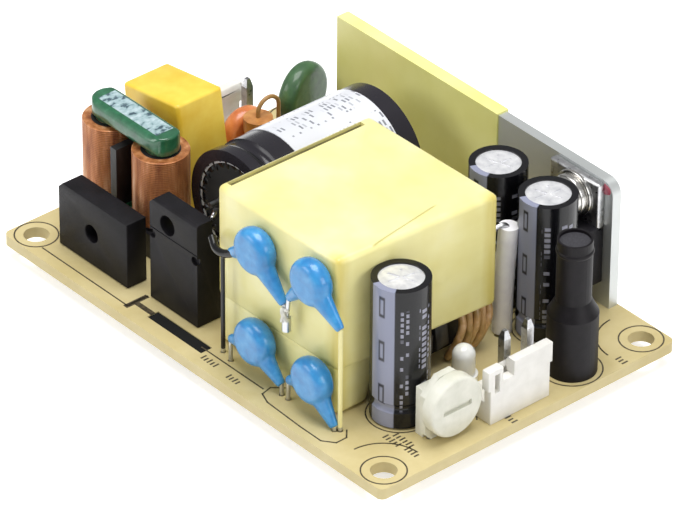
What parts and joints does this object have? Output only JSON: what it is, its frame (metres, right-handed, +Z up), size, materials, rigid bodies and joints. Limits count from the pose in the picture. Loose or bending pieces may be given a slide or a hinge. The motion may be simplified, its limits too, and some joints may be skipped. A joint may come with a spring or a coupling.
{
  "type": "open frame power supply",
  "caption": "Small open frame switching power supply on a single-sided board, with a line choke, bulk capacitor, taped transformer, plate heatsink and pin-header connectors.",
  "frame": {"origin": "centre of the four mounting holes on the board's underside", "axes": "+X along the board from the input connector to the output connector, +Y towards the heatsink's edge, +Z up out of the board"},
  "size_m": [0.0762, 0.0509, 0.0275],
  "materials": {
    "board_laminate": "cream composite laminate, semi-matt",
    "heatsink_aluminium": "satin rolled plate",
    "insulating_film": "pale yellow film",
    "black_moulding": "black moulded epoxy, satin",
    "tinned_wire": "tinned, satin",
    "screw_steel": "bright nickel plate",
    "ferrite_dark": "dark grey sintered ferrite, matt",
    "bobbin_black": "black moulded bobbin",
    "copper_winding": "enamelled copper wire",
    "polyester_tape": "pale yellow tape, semi-gloss",
    "wire_sleeve_white": "white sleeving",
    "ferrite_green": "green coated ferrite",
    "case_yellow": "yellow plastic case",
    "can_aluminium": "drawn can, satin",
    "sleeve_black": "shrunk black sleeve, glossy",
    "label_white": "white printed label",
    "bung_rubber": "black rubber",
    "coating_dark_green": "dipped dark green coating",
    "coating_orange": "dipped orange coating",
    "coating_cream": "cream coated fuse body",
    "coating_blue": "dipped light blue coating",
    "shrink_black": "black shrink sleeve",
    "trimmer_white": "off-white moulding",
    "lens_clear": "clear resin lens",
    "connector_white": "white nylon moulding",
    "solder_tin": "solder"
  },
  "bodies": {
    "root": {"board": "board_laminate", "heatsink": "heatsink_aluminium", "insulating_sheet": "insulating_film", "rectifier_body": "black_moulding", "rectifier_leads": "tinned_wire", "rectifier_screw": "screw_steel", "transformer_core": "ferrite_dark", "transformer_bobbin": "bobbin_black", "transformer_winding": "copper_winding", "transformer_wrap": "polyester_tape", "transformer_pins": "tinned_wire", "transformer_flying_lead": "wire_sleeve_white", "choke_core": "ferrite_green", "choke_bobbin": "bobbin_black", "choke_coils": "copper_winding", "choke_pins": "tinned_wire", "line_capacitor_case": "case_yellow", "line_capacitor_leads": "tinned_wire", "bulk_capacitor_can": "can_aluminium", "bulk_capacitor_sleeve": "sleeve_black", "bulk_capacitor_label": "label_white", "bulk_capacitor_bung": "bung_rubber", "bulk_capacitor_leads": "tinned_wire", "thermistor_disc": "coating_dark_green", "thermistor_leads": "tinned_wire", "varistor_disc": "coating_orange", "varistor_leads": "tinned_wire", "fuse_body": "coating_cream", "fuse_leads": "tinned_wire", "bridge_body": "black_moulding", "bridge_leads": "tinned_wire", "transistor_body": "black_moulding", "transistor_leads": "tinned_wire", "safety_capacitor_1": "coating_blue", "safety_capacitor_2": "coating_blue", "safety_capacitor_3": "coating_blue", "safety_capacitor_4": "coating_blue", "safety_capacitor_leads": "tinned_wire", "output_capacitor_sleeve_1": "sleeve_black", "output_capacitor_sleeve_2": "sleeve_black", "output_capacitor_sleeve_3": "sleeve_black", "output_capacitor_can_1": "can_aluminium", "output_capacitor_can_2": "can_aluminium", "output_capacitor_can_3": "can_aluminium", "output_capacitor_leads_1": "tinned_wire", "output_capacitor_leads_2": "tinned_wire", "output_capacitor_leads_3": "tinned_wire", "rod_choke_sleeve": "shrink_black", "rod_choke_core": "ferrite_dark", "rod_choke_coil": "copper_winding", "trimmer_body": "trimmer_white", "trimmer_terminals": "tinned_wire", "indicator_lens": "lens_clear", "indicator_leads": "tinned_wire", "output_connector_housing": "connector_white", "output_connector_pins": "tinned_wire", "input_connector_housing": "connector_white", "input_connector_pins": "tinned_wire", "solder_joints": "solder_tin"},
    "trimmer_rotor": {"trimmer_rotor": "trimmer_white"}
  },
  "joints": [
    {"name": "trimmer_turn", "type": "hinge", "parent": "root", "child": "trimmer_rotor", "pos_m": [0.0359, -0.0107, 0.0064], "axis": [1, 0, 0], "range_deg": [-120, 120]}
  ]
}
